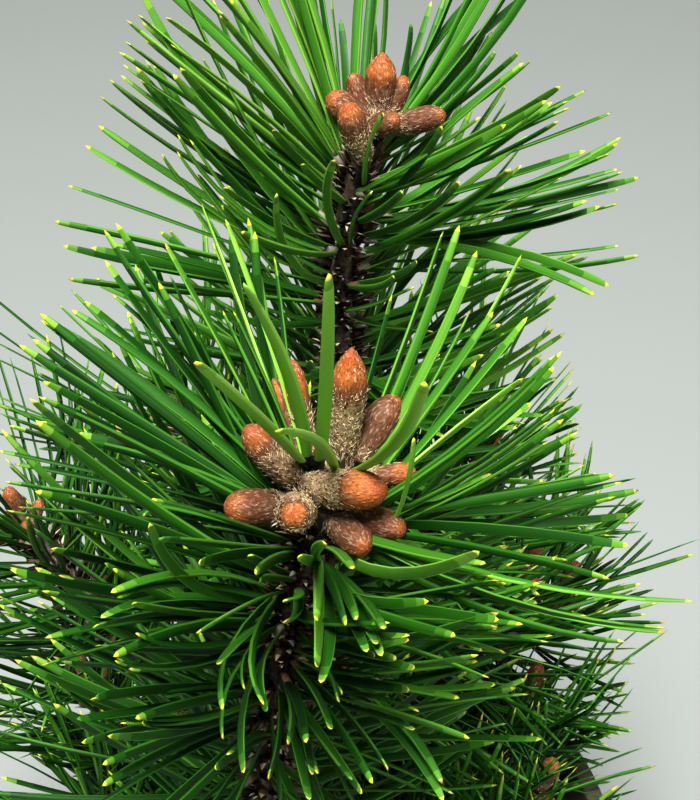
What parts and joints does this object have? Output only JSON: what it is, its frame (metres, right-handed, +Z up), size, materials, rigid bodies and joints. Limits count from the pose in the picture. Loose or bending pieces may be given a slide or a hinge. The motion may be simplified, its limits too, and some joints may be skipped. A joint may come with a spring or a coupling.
{
  "type": "potted dwarf mountain pine",
  "caption": "Young bushy pine with long paired needles and winter buds, growing in a round plastic nursery pot of soil.",
  "frame": {"origin": "centre of the pot's flat underside", "axes": "+Z up the trunk; -Y is the side of the plant's second, forward leading shoot; +X is to the right when that side is faced"},
  "size_m": [0.2105, 0.2461, 0.3682],
  "materials": {
    "pot_plastic": "satin dark taupe moulded plastic",
    "potting_soil": "crumbly dark peat and bark",
    "bark": "rough scaly bark",
    "needles": "glossy green needles with yellow points"
  },
  "bodies": {
    "root": {"bough_back_high": "bark", "bough_back_left": "bark", "bough_back_right": "bark", "bough_front": "bark", "bough_front_left": "bark", "bough_front_right": "bark", "bough_left_high": "bark", "bough_left_low": "bark", "bough_right_high": "bark", "bough_right_low": "bark", "pot": "pot_plastic", "shoot_back": "needles", "shoot_back_far_left": "needles", "shoot_back_high": "needles", "shoot_back_high_left": "needles", "shoot_back_high_right": "needles", "shoot_back_left": "needles", "shoot_back_right": "needles", "shoot_front": "needles", "shoot_front_left": "needles", "shoot_front_low": "needles", "shoot_front_right": "needles", "shoot_leader": "needles", "shoot_left_high": "needles", "shoot_left_low": "needles", "shoot_left_low_front": "needles", "shoot_right_high": "needles", "shoot_right_low": "needles", "shoot_right_low_front": "needles", "soil": "potting_soil", "spray_trunk_1": "needles", "spray_trunk_2": "needles", "spray_trunk_3": "needles", "spray_trunk_4": "needles", "trunk": "bark"}
  },
  "joints": []
}
